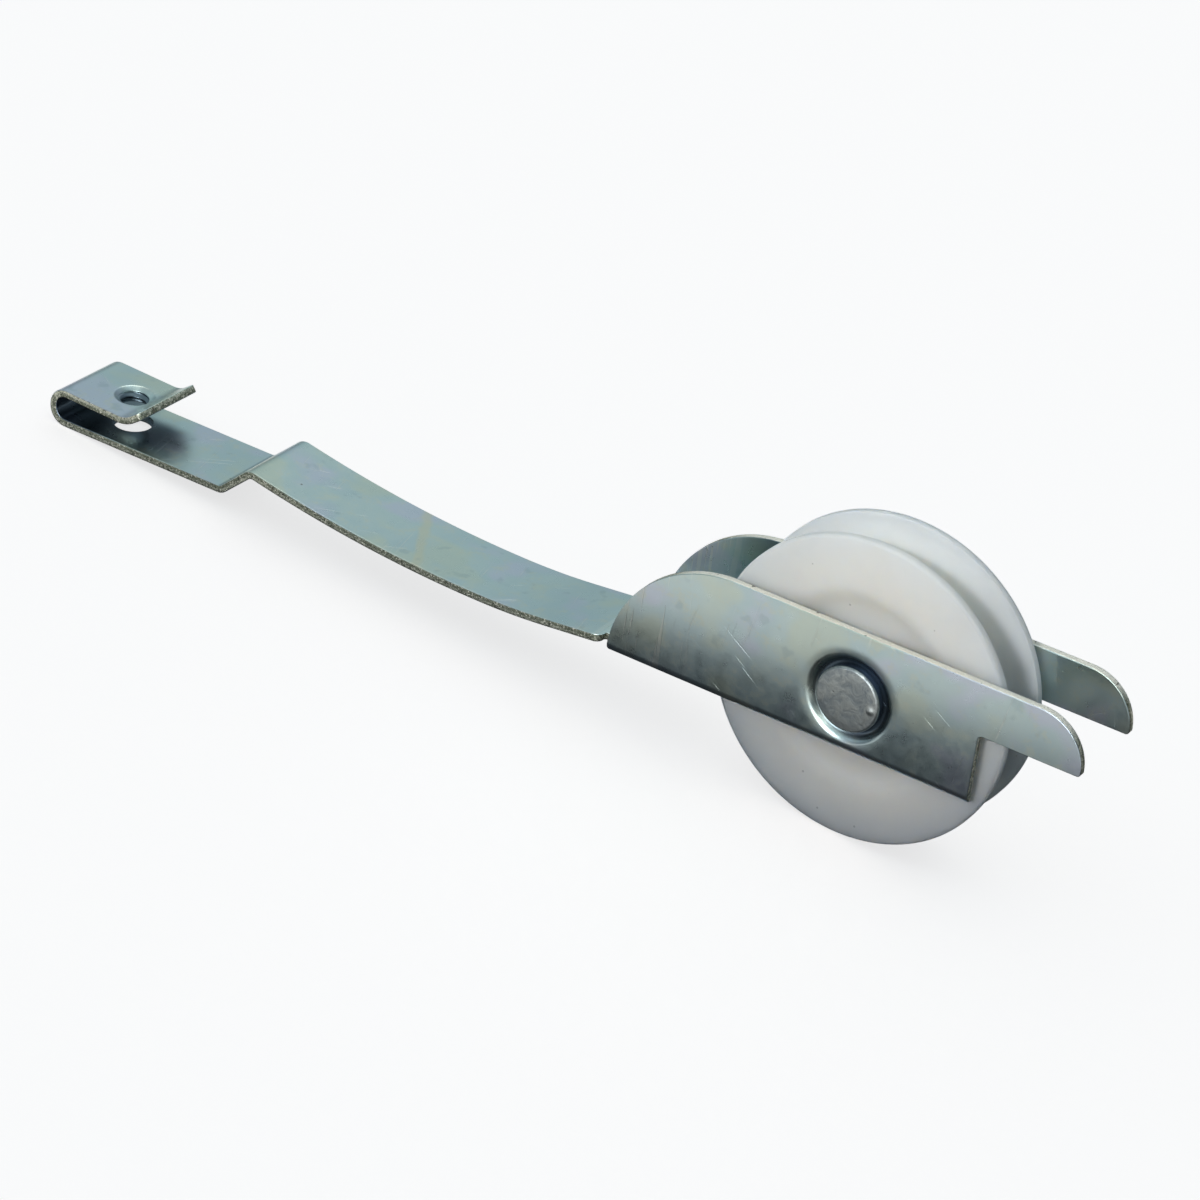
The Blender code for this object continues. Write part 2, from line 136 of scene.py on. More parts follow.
# The wheel
WHEEL_RADIUS = 15.875 * MM
WHEEL_HALF_WIDTH = 3.7 * MM
BORE_RADIUS = 2.43 * MM
HUB_RADIUS = 5.4 * MM
RECESS_INNER_RADIUS = 6.4 * MM
RECESS_OUTER_RADIUS = 8.7 * MM
FACE_INNER_RADIUS = 10.3 * MM
RECESS_DEPTH = 0.8 * MM
RIM_BEVEL = 0.3 * MM
CREST_WIDTH = 0.7 * MM
GROOVE_DEPTH = 2.6 * MM
RECESS_FILLET_RADIUS = 3.4 * MM
HUB_FILLET_RADIUS = 0.5 * MM
EDGE_FILLET_RADIUS = 0.25 * MM
CREST_FILLET_RADIUS = 0.12 * MM

# How finely things are drawn
BEND_STEP = math.radians(6)
CHANNEL_STEPS = 12
ARM_SPACING = 1.0 * MM
EAR_REAR_STEPS = 30
WHEEL_STEPS = 192
GROOVE_STEPS = 20
RIVET_STEPS = 144
HEAD_ROW = 0.1 * MM
HOLE_STEPS = 96
THREAD_ROW = 0.05 * MM
WELD = 0.0005 * MM

# Marks on the plate and painted shade on it, in millimetres. The stain crosses the arm at a distance u along
# the blank. The rest are in the roller's own frame, and each pair runs from where the mark or shade starts
# to where it is full.
STAIN_U = -52.0
STAIN_SLOPE = 0.55
# Painted shade: a dark blotch past the clearance hole, deep in the clip's slot, on the ears' inner sides by
# the wheel and in each dish
SHADE_BLOTCH_X = (-82.0, -86.5)
SHADE_BLOTCH_Y = -0.6
SHADE_BLOTCH_REACH = (3.6, 1.6)
SLOT_SHADE_X = (-88.5, -93.0)
EAR_SHADE_REAR_X = (-24.0, -14.0)
EAR_SHADE_FRONT_X = (16.0, 10.0)
EAR_SHADE_Z = (-7.0, -5.0)
DISH_SHADE_RADIUS = (4.15, 3.75)
RUB_REAR_X = (-30.0, -27.0)
RUB_FRONT_X = (-15.0, -23.0)

# The studio: a room that is bright behind and above the clip's side, a floor, reflector cards and lamps
WORLD_LEAN = (-0.35, 0.2, 0.9)
WORLD_STOPS = (
    (0.0, (0.02, 0.02, 0.025)),
    (0.27, (0.022, 0.026, 0.03)),
    (0.4, (0.045, 0.062, 0.085)),
    (0.62, (0.09, 0.115, 0.145)),
    (0.76, (0.26, 0.32, 0.345)),
    (0.88, (0.495, 0.62, 0.66)),
    (1.0, (0.36, 0.37, 0.36)),
)
FLOOR_SIZE = 4
FLOOR_SHADE = (0.70, 0.61, 0.59)
FLOOR_GLOW = 0.73
REFLECTOR_GLOW = 0.77
REFLECTOR_LENGTH = 0.5
REFLECTOR_WIDTH = 0.25
REFLECTOR_EDGE_Y = 25.9 * MM
REFLECTOR_Z = -10.0 * MM
REFLECTOR_TURN = math.radians(8)
OVERHEAD_PLACE = (-0.12, 0.14, 0.60)
OVERHEAD_SIZE = 0.45
OVERHEAD_POWER = 0.9
FRONT_PLACE = (0.09, -0.46, 0.20)
FRONT_SIZE = 0.36
FRONT_POWER = 2.3
SPOT_PLACE = (-0.03, -0.50, 0.32)
SPOT_RADIUS = 0.05
SPOT_ANGLE = math.radians(10)
SPOT_BLEND = 0.2
SPOT_LIFT = 47 * MM
SPOT_POWER = 20.5
WARM_WHITE = (1.0, 0.985, 0.96)
COOL_WHITE = (0.93, 0.97, 1.0)

# The camera, round the point it looks at
CAMERA_AIM = (0.00792, -0.00435, 0.012)
CAMERA_DISTANCE = 0.3905
CAMERA_AZIMUTH = math.radians(26.73)
CAMERA_ELEVATION = math.radians(32.02)
CAMERA_ROLL = math.radians(12.69)
CAMERA_LENS = 119.95


# Outlines and paths

def fillet(before, corner, after, radius):
    """Points of the arc that rounds one corner, or the corner itself where the radius is 0."""
    if radius == 0:
        return [corner]
    back = (before - corner).normalized()
    ahead = (after - corner).normalized()
    turn = math.pi - back.angle(ahead)
    reach = radius * math.tan(turn / 2)
    centre = corner + (back + ahead).normalized() * radius / math.cos(turn / 2)
    start = corner + back * reach - centre
    end = corner + ahead * reach - centre
    first = math.atan2(start.y, start.x)
    sweep = math.remainder(math.atan2(end.y, end.x) - first, math.tau)
    steps = max(2, math.ceil(turn / BEND_STEP))
    angles = [first + sweep * step / steps for step in range(steps + 1)]
    return [centre + radius * Vector((math.cos(angle), math.sin(angle))) for angle in angles]


def rounded(corners, closed):
    """A line through corners given as (a, b, radius), open or closed."""
    points = [Vector(corner[:2]) for corner in corners]
    line = []
    for index, corner in enumerate(corners):
        radius = corner[2] if closed or 0 < index < len(corners) - 1 else 0
        after = points[(index + 1) % len(points)]
        line += fillet(points[index - 1], points[index], after, radius)
    return line


def arm_height(x):
    """Height of the middle of the sheet along the arm."""
    if x < ARM_LOW_X:
        radius, run = ROOT_ARC_RADIUS, ARM_LOW_X - x
    else:
        radius, run = OUTER_ARC_RADIUS, min(x, STRAIGHT_START_X) - ARM_LOW_X
    rise = radius - math.sqrt(radius**2 - run**2)
    slope = run / math.sqrt(radius**2 - run**2)
    return ARM_LOW_Z + rise + slope * max(0, x - STRAIGHT_START_X)


def spring_line():
    """The middle of the sheet in the XZ plane, from the yoke's nose back to the clip's lip."""
    web_z = CHANNEL_BOTTOM_Z + HALF_SHEET
    end_x = CLIP_END_X + HALF_SHEET
    steps = round((SHOULDER_X - CREST_X) / ARM_SPACING)
    arm = [SHOULDER_X + (CREST_X - SHOULDER_X) * step / steps for step in range(1, steps)]
    corners = [
        (NOSE_TIP_X + MM, web_z, 0),
        (EAR_REAR_X - 0.25 * MM, web_z, 2.2 * MM),
        (SHOULDER_X - 0.3 * MM, arm_height(SHOULDER_X - 0.3 * MM), 2.2 * MM),
        *[(x, arm_height(x), 0) for x in arm],
        (CREST_X, arm_height(CREST_X), SMALL_BEND_RADIUS),
        (VALLEY_X, BASE_LEAF_Z, SMALL_BEND_RADIUS),
        (end_x, BASE_LEAF_Z, CLIP_BEND_RADIUS),
        (end_x, UPPER_LEAF_Z, CLIP_BEND_RADIUS),
        (LIP_BEND_X, LIP_BEND_Z, LIP_BEND_RADIUS),
        (LIP_END_X, LIP_END_Z, 0),
    ]
    return np.array(rounded(corners, closed=False))


class Fold:
    """Takes points of the flat blank to their places on the bent stamping."""

    def __init__(self, line):
        run = np.diff(line, axis=0)
        length = np.linalg.norm(run, axis=1)
        self.line = line
        self.u = line[0, 0] - np.concatenate([[0], np.cumsum(length)])
        across = np.stack([run[:, 1], -run[:, 0]], 1) / length[:, None]
        joined = np.vstack([across[:1], across[:-1] + across[1:], across[-1:]])
        self.up = joined / np.linalg.norm(joined, axis=1)[:, None]
        self.flat_half = EAR_OUTER_Y - CHANNEL_BEND_RADIUS
        self.bend_radius = CHANNEL_BEND_RADIUS - HALF_SHEET
        self.bend_end = self.flat_half + self.bend_radius * math.pi / 2

    def u_near(self, x, z):
        """The place along the strip that folds to the point of the line nearest (x, z)."""
        start, run = self.line[:-1], np.diff(self.line, axis=0)
        share = ((np.array([x, z]) - start) * run).sum(1) / (run * run).sum(1)
        share = np.clip(share, 0, 1)
        gap = np.linalg.norm(start + run * share[:, None] - [x, z], axis=1)
        best = gap.argmin()
        return self.u[best] + share[best] * (self.u[best + 1] - self.u[best])

    def t_at(self, z):
        """The distance across the blank that folds to height z on an ear."""
        return self.bend_end + z - (CHANNEL_BOTTOM_Z + CHANNEL_BEND_RADIUS)

    def along(self, values, u):
        return np.interp(u, self.u[::-1], values[::-1])

    def place(self, u, t, w):
        """(points, normals of the +w side) for arrays of blank coordinates."""
        x, z = self.along(self.line[:, 0], u), self.along(self.line[:, 1], u)
        up = np.stack([self.along(self.up[:, 0], u), self.along(self.up[:, 1], u)], 1)
        up /= np.linalg.norm(up, axis=1)[:, None]
        side, reach = np.sign(t), np.abs(t)
        folded = u > self.along(self.u, SHOULDER_X)
        angle = np.clip((reach - self.flat_half) / self.bend_radius, 0, math.pi / 2) * folded
        riser = np.maximum(reach - self.bend_end, 0) * folded
        run = np.where(folded, np.minimum(reach, self.flat_half), reach)
        out = run + self.bend_radius * np.sin(angle) - w * np.sin(angle)
        rise = self.bend_radius * (1 - np.cos(angle)) + riser + w * np.cos(angle)
        points = np.stack([x + rise * up[:, 0], side * out, z + rise * up[:, 1]], 1)
        tip, stand = np.sin(angle), np.cos(angle)
        normals = np.stack([stand * up[:, 0], -side * tip, stand * up[:, 1]], 1)
        return points, normals


# Meshes

def smooth_step(value):
    value = np.clip(value, 0, 1)
    return value**3 * (value * (6 * value - 15) + 10)


def circle(centre_u, centre_t, radius):
    angles = [math.tau * step / HOLE_STEPS for step in range(HOLE_STEPS)]
    return [(centre_u + radius * math.cos(a), centre_t + radius * math.sin(a)) for a in angles]


def blank_outline(fold):
    """Closed outline of the flat blank."""
    half = STRIP_WIDTH / 2
    shoulder = fold.u_near(SHOULDER_X, arm_height(SHOULDER_X))
    lip = fold.u[-1]
    ear_top = fold.t_at(EAR_TOP_Z)
    rear_turn = fold.t_at(EAR_TOP_Z - EAR_REAR_RADIUS)
    nose_bottom = fold.t_at(NOSE_BOTTOM_Z)
    window_edge = fold.flat_half
    angles = [math.pi / 2 * step / EAR_REAR_STEPS for step in range(1, EAR_REAR_STEPS + 1)]
    rear_arc = [
        (
            EAR_REAR_X + EAR_REAR_RADIUS * (1 - math.cos(angle)),
            rear_turn + EAR_REAR_RADIUS * math.sin(angle),
            0,
        )
        for angle in angles
    ]
    side = [
        (lip, half, 0.4 * MM),
        (shoulder, half, 0.8 * MM),
        (shoulder, NECK_HALF_WIDTH, 0.4 * MM),
        (EAR_REAR_X, NECK_HALF_WIDTH, 0.3 * MM),
        *rear_arc,
        (NOSE_TIP_X, ear_top, NOSE_RADIUS),
        (NOSE_TIP_X, nose_bottom, 0.35 * MM),
        (NOTCH_X, nose_bottom, 0.5 * MM),
        (NOTCH_X, window_edge, 0.35 * MM),
        (WINDOW_REAR_X, window_edge, 1.5 * MM),
    ]
    mirrored = [(u, -t, radius) for u, t, radius in reversed(side)]
    return [tuple(point) for point in rounded(side + mirrored, closed=True)]


def add_loop(build, points):
    verts = [build.verts.new((*point, 0)) for point in points]
    edges = [build.edges.new((verts[index - 1], vert)) for index, vert in enumerate(verts)]
    return verts, edges


def cut_where_it_bends(build, fold):
    """Cuts the flat sheet along every line that it will bend at."""
    for u in fold.u[1:-1]:
        geometry = [*build.verts, *build.edges, *build.faces]
        bmesh.ops.bisect_plane(build, geom=geometry, plane_co=(u, 0, 0), plane_no=(1, 0, 0), dist=WELD)
    for step in range(CHANNEL_STEPS + 1):
        t = fold.flat_half + (fold.bend_end - fold.flat_half) * step / CHANNEL_STEPS
        for side in (-1, 1):
            faces = [face for face in build.faces if face.calc_center_median().x > EAR_REAR_X]
            edges = {edge for face in faces for edge in face.edges}
            bmesh.ops.bisect_plane(
                build, geom=[*faces, *edges], plane_co=(0, side * t, 0), plane_no=(0, 1, 0), dist=WELD
            )


def flat_blank(fold, fields):
    """The blank's middle surface, with two narrow rings inside its outline that round its edges. The rim
    layer is 1 on the outline, RING_SHARE on the ring just inside it and 0 elsewhere."""
    build = bmesh.new()
    rim = build.verts.layers.float.new("rim")
    _, edges = add_loop(build, blank_outline(fold))
    holes = [add_loop(build, circle(*field)) for field in fields]
    for _, hole_edges in holes:
        edges += hole_edges
    bmesh.ops.triangle_fill(build, use_beauty=True, use_dissolve=False, edges=edges)
    lids = [build.faces.new(verts) for verts, _ in holes]
    bmesh.ops.recalc_face_normals(build, faces=build.faces)
    if sum(face.normal.z for face in build.faces) < 0:
        bmesh.ops.reverse_faces(build, faces=build.faces)

    for share in (RING_SHARE, 1 - RING_SHARE):
        inside = [face for face in build.faces if not any(vert[rim] for vert in face.verts)]
        bmesh.ops.inset_region(
            build, faces=inside, use_boundary=True, use_even_offset=True, thickness=EDGE_ROUNDING * share
        )
        for vert in build.verts:
            vert[rim] = 1 if vert.is_boundary else 0
    outline = {vert for vert in build.verts if vert.is_boundary}
    ring = {vert for first in outline for edge in first.link_edges for vert in edge.verts} - outline
    for vert in ring:
        vert[rim] = RING_SHARE
    bmesh.ops.delete(build, geom=lids, context="FACES_ONLY")
    return build, rim


def rounded_ramp(value, rounding):
    """0 to 1 along a straight slope whose two ends are rounded off."""
    value = min(max(value, 0), 1)
    steepness = 1 / (1 - rounding)
    if value < rounding:
        return steepness * value**2 / (2 * rounding)
    if value > 1 - rounding:
        return 1 - steepness * (1 - value) ** 2 / (2 * rounding)
    return steepness * (value - rounding / 2)


def dish_depth(radius, rim_radius):
    """How far the ear is pressed in at a distance from the axle: a steep dish in a wide shallow draw."""
    steep = rounded_ramp((rim_radius - radius) / (DISH_RIM_RADIUS - DISH_FLOOR_RADIUS), DISH_ROUNDING)
    draw = smooth_step((DISH_FIELD_RADIUS - radius) / (DISH_FIELD_RADIUS - DISH_FLOOR_RADIUS))
    return (DISH_DEPTH - DISH_DRAW) * steep + DISH_DRAW * draw


def dish_profile():
    """Section of the dished ear round the axle, from the field's edge on its outer side to its inner
    side."""
    radii = np.linspace(DISH_FIELD_RADIUS, DISH_FLOOR_RADIUS - 0.1 * MM, 36).tolist()
    radii += [3.3 * MM, 2.8 * MM, AXLE_HOLE_RADIUS + 0.05 * MM]
    inner_rim = DISH_RIM_RADIUS + DISH_WALL
    outer = [(radius, -HALF_SHEET + dish_depth(radius, DISH_RIM_RADIUS)) for radius in radii]
    inner = [(radius, HALF_SHEET + dish_depth(radius, inner_rim)) for radius in radii]
    wall = [
        (AXLE_HOLE_RADIUS, outer[-1][1] + 0.05 * MM),
        (AXLE_HOLE_RADIUS, inner[-1][1] - 0.05 * MM),
    ]
    return outer + wall + inner[::-1]


def clearance_profile():
    """Section of the sheet round the punched clearance hole: rolled over at the top, sharp below."""
    radius = CLEARANCE_HOLE_RADIUS
    corners = [
        (radius + 0.8 * MM, HALF_SHEET, 0),
        (radius, HALF_SHEET, 0.16 * MM),
        (radius, -HALF_SHEET, 0.07 * MM),
        (radius + 0.8 * MM, -HALF_SHEET, 0),
    ]
    return [tuple(point) for point in rounded(corners, closed=False)]


def collar_profile():
    """Section of the leaf round the tapped hole: a dished mouth, the hole's wall in rows and the drawn
    collar."""
    field = COLLAR_RADIUS + 0.9 * MM
    mouth = rounded(
        [
            (field, -HALF_SHEET, 0),
            (TAPPED_MOUTH_RADIUS + 0.1 * MM, -HALF_SHEET, 0.35 * MM),
            (THREAD_MAJOR_RADIUS, -HALF_SHEET + 0.42 * MM, 0.2 * MM),
            (THREAD_MAJOR_RADIUS, -HALF_SHEET + 0.6 * MM, 0),
        ],
        closed=False,
    )
    top, bottom = -HALF_SHEET + 0.6 * MM, HALF_SHEET + COLLAR_DROP - 0.08 * MM
    rows = round((bottom - top) / THREAD_ROW)
    wall = [(THREAD_MAJOR_RADIUS, top + (bottom - top) * row / rows) for row in range(1, rows + 1)]
    collar = rounded(
        [
            (THREAD_MAJOR_RADIUS, bottom, 0),
            (THREAD_MAJOR_RADIUS + 0.02 * MM, HALF_SHEET + COLLAR_DROP, 0),
            (COLLAR_RADIUS, HALF_SHEET + COLLAR_DROP, 0.08 * MM),
            (COLLAR_RADIUS, HALF_SHEET, 0.3 * MM),
            (field, HALF_SHEET, 0),
        ],
        closed=False,
    )
    return [tuple(point) for point in mouth + wall + collar[1:]]


def thread_ridge(radius, w, angle):
    """Narrows the hole's wall along a helix, with rounded crests, fading out at both ends."""
    top, bottom = -HALF_SHEET + 0.25 * MM, HALF_SHEET + COLLAR_DROP
    if radius > THREAD_MAJOR_RADIUS + 0.25 * MM or not top < w < bottom:
        return radius
    phase = (w / THREAD_PITCH - angle / math.tau) % 1
    crest = max(0.0, 1 - abs(phase - 0.5) / 0.42)
    ends = min(1.0, (w - top) / (0.3 * MM), (bottom - w) / (0.15 * MM))
    height = (THREAD_MAJOR_RADIUS - THREAD_MINOR_RADIUS) * min(crest * 1.15, 1.0)
    return radius - height * max(0.0, ends)


def add_field(build, rim, centre_u, centre_t, profile, flat_radius, threaded=False):
    """Turns a section round a hole's centre in flat coordinates, to fill one field of the blank."""
    rings = []
    for radius, w in profile:
        ring = []
        for step in range(HOLE_STEPS):
            angle = math.tau * step / HOLE_STEPS
            at = thread_ridge(radius, w, angle) if threaded else radius
            vert = build.verts.new((centre_u + at * math.cos(angle), centre_t + at * math.sin(angle), w))
            vert[rim] = 0 if radius >= flat_radius else -1
            ring.append(vert)
        rings.append(ring)
    for outer, inner in zip(rings, rings[1:]):
        for step in range(HOLE_STEPS):
            build.faces.new((outer[step - 1], outer[step], inner[step], inner[step - 1]))


def two_sided(build, rim):
    """Gives the middle surface both its sides and the sheared walls between them."""
    faces = list(build.faces)
    bounds = [
        edge for edge in build.edges if edge.is_boundary and all(vert[rim] > 0.99 for vert in edge.verts)
    ]
    lower, upper = {}, {}
    for vert in list(build.verts):
        height = HALF_SHEET - EDGE_ROUNDING * vert[rim]
        lower[vert] = build.verts.new((vert.co.x, vert.co.y, -height))
        lower[vert][rim] = vert[rim]
        upper[vert] = vert
        vert.co.z = height
    for face in faces:
        build.faces.new([lower[vert] for vert in reversed(face.verts)])
    levels = (1 / 3, 2 / 3)
    walls = {}
    for edge in bounds:
        for vert in edge.verts:
            if vert not in walls:
                top, bottom = upper[vert].co.copy(), lower[vert].co.copy()
                column = [build.verts.new(top.lerp(bottom, level)) for level in levels]
                for new in column:
                    new[rim] = 1
                walls[vert] = [upper[vert], *column, lower[vert]]
    for edge in bounds:
        face = edge.link_faces[0]
        loop = next(loop for loop in face.loops if loop.edge == edge)
        a, b = walls[loop.vert], walls[loop.link_loop_next.vert]
        for row in range(len(a) - 1):
            wall = build.faces.new((b[row], a[row], a[row + 1], b[row + 1]))
            wall.material_index = 1


def make_stamping(place):
    """The clip, arm and yoke as one folded sheet, plated on its faces and sheared at its edges."""
    fold = Fold(spring_line())
    tapped_u = fold.u_near(SCREW_X, UPPER_LEAF_Z)
    clearance_u = fold.u_near(SCREW_X, BASE_LEAF_Z)
    axle_t = fold.t_at(0)
    collar, clearance, dish = collar_profile(), clearance_profile(), dish_profile()
    fields = [
        (tapped_u, 0, collar[0][0], collar, True),
        (clearance_u, 0, clearance[0][0], clearance, False),
        (0, axle_t, dish[0][0], dish, False),
        (0, -axle_t, dish[0][0], dish, False),
    ]
    build, rim = flat_blank(fold, [field[:3] for field in fields])
    two_sided(build, rim)
    for centre_u, centre_t, radius, profile, threaded in fields:
        add_field(build, rim, centre_u, centre_t, profile, radius - WELD, threaded)
    bmesh.ops.remove_doubles(build, verts=build.verts, dist=WELD)
    cut_where_it_bends(build, fold)
    bmesh.ops.recalc_face_normals(build, faces=build.faces)

    mesh = bpy.data.meshes.new("spring_stamping")
    build.to_mesh(mesh)
    build.free()
    flat = np.array([vert.co for vert in mesh.vertices])
    points, normals = fold.place(*flat.T)
    matrix = np.array(place)
    points = points @ matrix[:3, :3].T + matrix[:3, 3]
    normals = normals @ matrix[:3, :3].T * np.sign(flat[:, 2:])
    mesh.vertices.foreach_set("co", points.astype(np.float32).ravel())
    blank = mesh.attributes.new("blank", "FLOAT_VECTOR", "POINT")
    blank.data.foreach_set("vector", flat.astype(np.float32).ravel())
    mesh.update()
    mesh.shade_smooth()
    values = np.zeros(len(flat), np.float32)
    mesh.attributes["rim"].data.foreach_get("value", values)
    normals[np.abs(values) > 0.01] = 0
    mesh.normals_split_custom_set_from_vertices(normals.tolist())

    obj = link("spring_stamping", mesh)
    mesh.materials.append(zinc_plate(fold))
    mesh.materials.append(sheared_edge(fold))
    return obj


def link(name, mesh):
    obj = bpy.data.objects.new(name, mesh)
    bpy.context.scene.collection.objects.link(obj)
    return obj


def turned(name, profile, steps, place, closed):
    """A piece turned about the axle from a section of (radius, y) points, with flat faces kept flat."""
    build = bmesh.new()
    verts = [build.verts.new((radius, y, 0)) for radius, y in profile]
    pairs = list(zip(verts, verts[1:]))
    if closed:
        pairs.append((verts[-1], verts[0]))
    edges = [build.edges.new(pair) for pair in pairs]
    bmesh.ops.spin(
        build,
        geom=verts + edges,
        cent=(0, 0, 0),
        axis=(0, 1, 0),
        angle=math.tau,
        steps=steps,
        use_merge=True,
    )
    bmesh.ops.remove_doubles(build, verts=build.verts, dist=WELD)
    bmesh.ops.recalc_face_normals(build, faces=build.faces)
    mesh = bpy.data.meshes.new(name)
    build.to_mesh(mesh)
    build.free()
    mesh.transform(place)
    mesh.shade_smooth()
    obj = link(name, mesh)
    weighted = obj.modifiers.new("Flat faces", "WEIGHTED_NORMAL")
    weighted.keep_sharp = True
    return obj


def wheel_profile():
    """Closed section of the wheel, with moulded radii at every corner."""
    face, floor = WHEEL_HALF_WIDTH, WHEEL_HALF_WIDTH - RECESS_DEPTH
    half_groove = WHEEL_HALF_WIDTH - RIM_BEVEL - CREST_WIDTH
    side = [
        (BORE_RADIUS, face, EDGE_FILLET_RADIUS),
        (HUB_RADIUS, face, EDGE_FILLET_RADIUS),
        (RECESS_INNER_RADIUS, floor, HUB_FILLET_RADIUS),
        (RECESS_OUTER_RADIUS, floor, RECESS_FILLET_RADIUS),
        (FACE_INNER_RADIUS, face, RECESS_FILLET_RADIUS),
        (WHEEL_RADIUS, face, RIM_BEVEL),
        (WHEEL_RADIUS, half_groove, CREST_FILLET_RADIUS),
    ]
    angles = [math.pi * step / GROOVE_STEPS for step in range(1, GROOVE_STEPS)]
    groove = [
        (WHEEL_RADIUS - GROOVE_DEPTH * math.sin(angle), half_groove * math.cos(angle), 0)
        for angle in angles
    ]
    mirrored = [(radius, -y, turn) for radius, y, turn in reversed(side)]
    return [tuple(point) for point in rounded(side + groove + mirrored, closed=True)]


def make_wheel(place):
    wheel = turned("nylon_wheel", wheel_profile(), WHEEL_STEPS, place, closed=True)
    wheel.data.materials.append(white_nylon())
    return wheel


def rivet_profile():
    """Open section of the rivet, from the middle of its tail to the middle of its head, with close rows
    where the blister is raised."""
    floor_y = EAR_OUTER_Y - DISH_DEPTH
    face_y = BLISTER_HEIGHT - RIVET_END_Y
    corners = [
        (0, RIVET_END_Y, 0),
        (1.2 * MM, RIVET_END_Y - 0.02 * MM, 0),
        (2.6 * MM, RIVET_END_Y - 0.14 * MM, 1.0 * MM),
        (RIVET_TAIL_RADIUS, RIVET_END_Y - 0.5 * MM, 0.4 * MM),
        (RIVET_TAIL_RADIUS - 0.05 * MM, floor_y + 0.01 * MM, 0.05 * MM),
        (SHANK_RADIUS, floor_y + 0.01 * MM, 0.05 * MM),
        (SHANK_RADIUS, -floor_y - 0.01 * MM, 0.05 * MM),
        (RIVET_HEAD_RADIUS - 0.04 * MM, -floor_y - 0.01 * MM, 0.05 * MM),
        (RIVET_HEAD_RADIUS, face_y + 0.2 * MM, 0.25 * MM),
        (RIVET_HEAD_RADIUS - 0.2 * MM, face_y + 0.03 * MM, 0.2 * MM),
        (RIVET_HEAD_RADIUS - 0.9 * MM, face_y, 0.6 * MM),
        (CLOSE_ROWS_RADIUS, face_y, 0),
        (0, face_y, 0),
    ]
    line = rounded(corners, closed=False)
    points = line[:1]
    for before, after in zip(line, line[1:]):
        on_face = after.x > CLOSE_ROWS_RADIUS - HEAD_ROW and after.y < face_y + 0.1 * MM
        steps = math.ceil((after - before).length / HEAD_ROW) if on_face else 1
        points += [before.lerp(after, step / steps) for step in range(1, steps + 1)]
    return [tuple(point) for point in points]


def raise_blister(mesh, place):
    """Lifts a small round blister out of the rivet's head."""
    to_roller = place.inverted()
    for vert in mesh.vertices:
        point = to_roller @ vert.co
        gap = math.hypot(point.x - BLISTER_X, point.z - BLISTER_Z) / BLISTER_RADIUS
        if gap < 1 and point.y < -EAR_OUTER_Y:
            point.y = max(point.y - BLISTER_HEIGHT * float(smooth_step(1 - gap)), -RIVET_END_Y)
            vert.co = place @ point


def make_rivet(place):
    rivet = turned("clenched_rivet", rivet_profile(), RIVET_STEPS, place, closed=False)
    raise_blister(rivet.data, place)
    rivet.data.materials.append(rivet_steel())
    return rivet


# Materials

class Shader:
    """A material's node tree, with one call for each node."""

    def __init__(self, name, color, **settings):
        self.material = bpy.data.materials.new(name)
        self.material.use_nodes = True
        self.material.diffuse_color = (*color, 1)
        self.tree = self.material.node_tree
        self.surface = self.tree.nodes["Principled BSDF"]
        self.surface.inputs["Base Color"].default_value = (*color, 1)
        for socket, value in settings.items():
            self.surface.inputs[socket.replace("_", " ")].default_value = value

    def node(self, kind, inputs=None, **settings):
        node = self.tree.nodes.new(kind)
        for key, value in settings.items():
            setattr(node, key, value)
        for socket, value in (inputs or {}).items():
            if isinstance(value, bpy.types.NodeSocket):
                self.tree.links.new(value, node.inputs[socket])
            else:
                node.inputs[socket].default_value = value
        return node

    def math(self, operation, first, second=0.0, clamp=False):
        node = self.node("ShaderNodeMath", {0: first, 1: second}, operation=operation, use_clamp=clamp)
        return node.outputs[0]

    def scaled(self, vector, scale):
        """A coordinate in millimetres stretched by a factor on each axis."""
        return self.node(
            "ShaderNodeVectorMath", {0: vector, 1: scale}, operation="MULTIPLY"
        ).outputs["Vector"]

    def noise(self, vector, scale, detail=3.0, roughness=0.5, distortion=0.0):
        inputs = {
            "Vector": vector,
            "Scale": scale,
            "Detail": detail,
            "Roughness": roughness,
            "Distortion": distortion,
        }
        return self.node("ShaderNodeTexNoise", inputs).outputs["Fac"]

    def band(self, value, low, high, to_low=0.0, to_high=1.0):
        """Maps low..high smoothly to to_low..to_high, and holds the ends beyond it."""
        inputs = {"Value": value, 1: low, 2: high, 3: to_low, 4: to_high}
        return self.node("ShaderNodeMapRange", inputs, interpolation_type="SMOOTHSTEP").outputs[0]

    def mix(self, factor, first, second):
        """Colour between two colours, which are sockets or (r, g, b)."""
        node = self.node("ShaderNodeMix", {0: factor}, data_type="RGBA")
        for socket, value in ((6, first), (7, second)):
            if isinstance(value, bpy.types.NodeSocket):
                self.tree.links.new(value, node.inputs[socket])
            else:
                node.inputs[socket].default_value = (*value, 1)
        return node.outputs[2]

    def bump(self, height, depth, strength=1.0, below=None):
        inputs = {"Height": height, "Distance": depth, "Strength": strength}
        if below is not None:
            inputs["Normal"] = below
        return self.node("ShaderNodeBump", inputs).outputs["Normal"]

    def use(self, **sockets):
        for socket, value in sockets.items():
            self.tree.links.new(value, self.surface.inputs[socket.replace("_", " ")])
        return self.material


def in_millimetres(shader, attribute=None):
    if attribute:
        source = shader.node("ShaderNodeAttribute", attribute_name=attribute).outputs["Vector"]
    else:
        source = shader.node("ShaderNodeTexCoord").outputs["Object"]
    return shader.scaled(source, (1 / MM, 1 / MM, 1 / MM))


